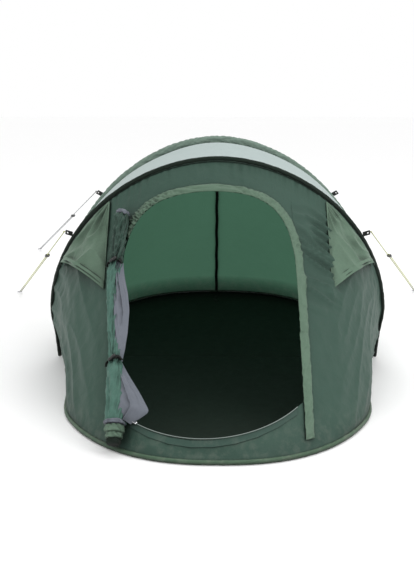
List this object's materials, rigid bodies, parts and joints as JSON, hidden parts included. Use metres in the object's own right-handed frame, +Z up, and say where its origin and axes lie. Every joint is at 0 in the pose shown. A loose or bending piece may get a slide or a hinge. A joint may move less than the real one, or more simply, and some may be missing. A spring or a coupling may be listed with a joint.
{
  "type": "pop up tent",
  "caption": "Two-person pop up tent on a sprung hoop frame, with an arched zip door rolled back, hooded vents and guy lines",
  "frame": {"origin": "on the ground, under the middle of the tent's box without its guy lines", "axes": "+X to the right seen from the door, +Y from the door to the foot end, +Z up"},
  "size_m": [2.385, 3.6399, 0.9701],
  "materials": {
    "sleeve_dark": "coated polyester, dark green",
    "sleeve_grey": "coated polyester, grey-green",
    "wall": "coated polyester, slate green",
    "roof": "coated polyester, pale silver green",
    "rim": "coated polyester, light green",
    "light_panel": "coated polyester, sage green",
    "lining": "light lining fabric, lilac grey",
    "door": "coated polyester, teal green",
    "mesh": "fine insect mesh",
    "floor": "woven coated polyethylene",
    "webbing": "black webbing",
    "rod": "fibreglass rod",
    "ferrule": "zinc plated steel",
    "brass": "nickel-free brass",
    "black_plastic": "moulded acetal",
    "zip_teeth": "nylon coil",
    "zip_metal": "plated zinc",
    "cord_yellow": "braided polyester cord",
    "cord_grey": "braided polyester cord"
  },
  "bodies": {
    "rear_base": {"rear_ground_sleeve": "rim", "rear_ground_rod": "rod", "rear_ground_ferrules": "ferrule", "groundsheet_rear": "floor", "rear_wall": "wall", "rear_wall_strip": "webbing", "strip_tail": "webbing", "peg_loops": "webbing", "peg_grommets": "brass"},
    "rear_arch": {"rear_arch_sleeve": "sleeve_grey", "rear_arch_rod": "rod", "rear_arch_ferrules": "ferrule", "roof_panel": "roof", "guy_tab_rear_left": "webbing", "guy_tab_rear_right": "webbing"},
    "front_arch": {"front_arch_sleeve": "sleeve_dark", "front_arch_rod": "rod", "front_arch_ferrules": "ferrule", "guy_tab_front_left": "webbing", "guy_tab_front_right": "webbing"},
    "front_base": {"front_ground_sleeve": "rim", "front_ground_rod": "rod", "front_ground_ferrules": "ferrule", "groundsheet_front": "floor", "front_wall": "wall", "storm_flap": "light_panel", "vent_hood_left": "light_panel", "vent_hood_right": "light_panel", "vent_mesh_left": "mesh", "vent_mesh_right": "mesh", "door_roll": "door", "door_lining_upper": "lining", "door_lining_lower": "lining", "door_hem": "lining", "storm_flap_end": "light_panel", "door_tie_upper": "webbing", "door_tie_lower": "webbing", "door_toggle_upper": "black_plastic", "door_toggle_lower": "black_plastic", "zip_tape": "zip_teeth", "zip_coil": "zip_teeth"},
    "zip_slider": {"zip_slider": "zip_metal"},
    "zip_pull": {"zip_pull": "zip_metal"},
    "guy_front_left": {"guy_front_left_cord": "cord_yellow", "guy_front_left_return": "cord_yellow", "guy_front_left_knot": "cord_yellow", "guy_front_left_ring": "ferrule"},
    "guy_front_left_runner": {"guy_front_left_runner": "black_plastic"},
    "guy_front_right": {"guy_front_right_cord": "cord_yellow", "guy_front_right_return": "cord_yellow", "guy_front_right_knot": "cord_yellow", "guy_front_right_ring": "ferrule"},
    "guy_front_right_runner": {"guy_front_right_runner": "black_plastic"},
    "guy_rear_left": {"guy_rear_left_cord": "cord_grey", "guy_rear_left_return": "cord_grey", "guy_rear_left_knot": "cord_grey", "guy_rear_left_ring": "ferrule"},
    "guy_rear_left_runner": {"guy_rear_left_runner": "black_plastic"}
  },
  "joints": [
    {"name": "rear_arch_fold", "type": "hinge", "parent": "rear_base", "child": "rear_arch", "pos_m": [0, 0, 0.009], "axis": [1, 0, 0], "range_deg": [-56.2, 0], "stiffness_Nm_per_rad": 40, "springref_deg": 34.38, "deforming": ["rear_wall", "rear_wall_strip"]},
    {"name": "front_arch_fold", "type": "hinge", "parent": "rear_arch", "child": "front_arch", "pos_m": [0, 0, 0.009], "axis": [1, 0, 0], "range_deg": [-37.6, 0], "deforming": ["roof_panel"]},
    {"name": "front_base_fold", "type": "hinge", "parent": "front_arch", "child": "front_base", "pos_m": [0, 0, 0.009], "axis": [1, 0, 0], "range_deg": [-56.2, 0], "deforming": ["front_wall", "storm_flap", "vent_hood_left", "vent_hood_right", "vent_mesh_left", "vent_mesh_right", "door_roll", "door_lining_upper", "door_lining_lower", "door_hem", "storm_flap_end", "door_tie_upper", "door_tie_lower", "door_toggle_upper", "door_toggle_lower", "zip_tape", "zip_coil"]},
    {"name": "zip_slide", "type": "hinge", "parent": "front_base", "child": "zip_slider", "pos_m": [-0.03315, -0.77781, 0.24789], "axis": [-0.0531, -0.398, 0.9159], "range_deg": [0, 82.25]},
    {"name": "zip_pull_swing", "type": "hinge", "parent": "zip_slider", "child": "zip_pull", "pos_m": [-0.29666, -1.0688, 0.10618], "axis": [-0.0531, -0.398, 0.9159], "range_deg": [-60, 0]},
    {"name": "guy_front_left_swing", "type": "hinge", "parent": "front_arch", "child": "guy_front_left", "pos_m": [-0.64734, -0.25412, 0.63605], "axis": [1, 0, 0], "range_deg": [0, 112]},
    {"name": "guy_front_left_runner_slide", "type": "slide", "parent": "guy_front_left", "child": "guy_front_left_runner", "axis": [-0.2918, 0.878, -0.3794], "range_m": [-0.3, 0.6]},
    {"name": "guy_front_right_swing", "type": "hinge", "parent": "front_arch", "child": "guy_front_right", "pos_m": [0.64728, -0.25406, 0.63625], "axis": [1, 0, 0], "range_deg": [0, 112]},
    {"name": "guy_front_right_runner_slide", "type": "slide", "parent": "guy_front_right", "child": "guy_front_right_runner", "axis": [0.2924, 0.8807, -0.3725], "range_m": [-0.3, 0.6]},
    {"name": "guy_rear_left_swing", "type": "hinge", "parent": "rear_arch", "child": "guy_rear_left", "pos_m": [-0.57589, 0.34043, 0.71805], "axis": [1, 0, 0], "range_deg": [0, 76]},
    {"name": "guy_rear_left_runner_slide", "type": "slide", "parent": "guy_rear_left", "child": "guy_rear_left_runner", "axis": [-0.2808, 0.9076, -0.3122], "range_m": [-0.3, 0.6]}
  ],
  "couplings": [
    {"joint": "front_arch_fold", "follows": "rear_arch_fold", "ratio": 0.66904},
    {"joint": "front_base_fold", "follows": "rear_arch_fold", "ratio": 1},
    {"joint": "guy_front_left_swing", "follows": "rear_arch_fold", "ratio": -1.9929},
    {"joint": "guy_front_right_swing", "follows": "rear_arch_fold", "ratio": -1.9929},
    {"joint": "guy_rear_left_swing", "follows": "rear_arch_fold", "ratio": -1.3523}
  ]
}
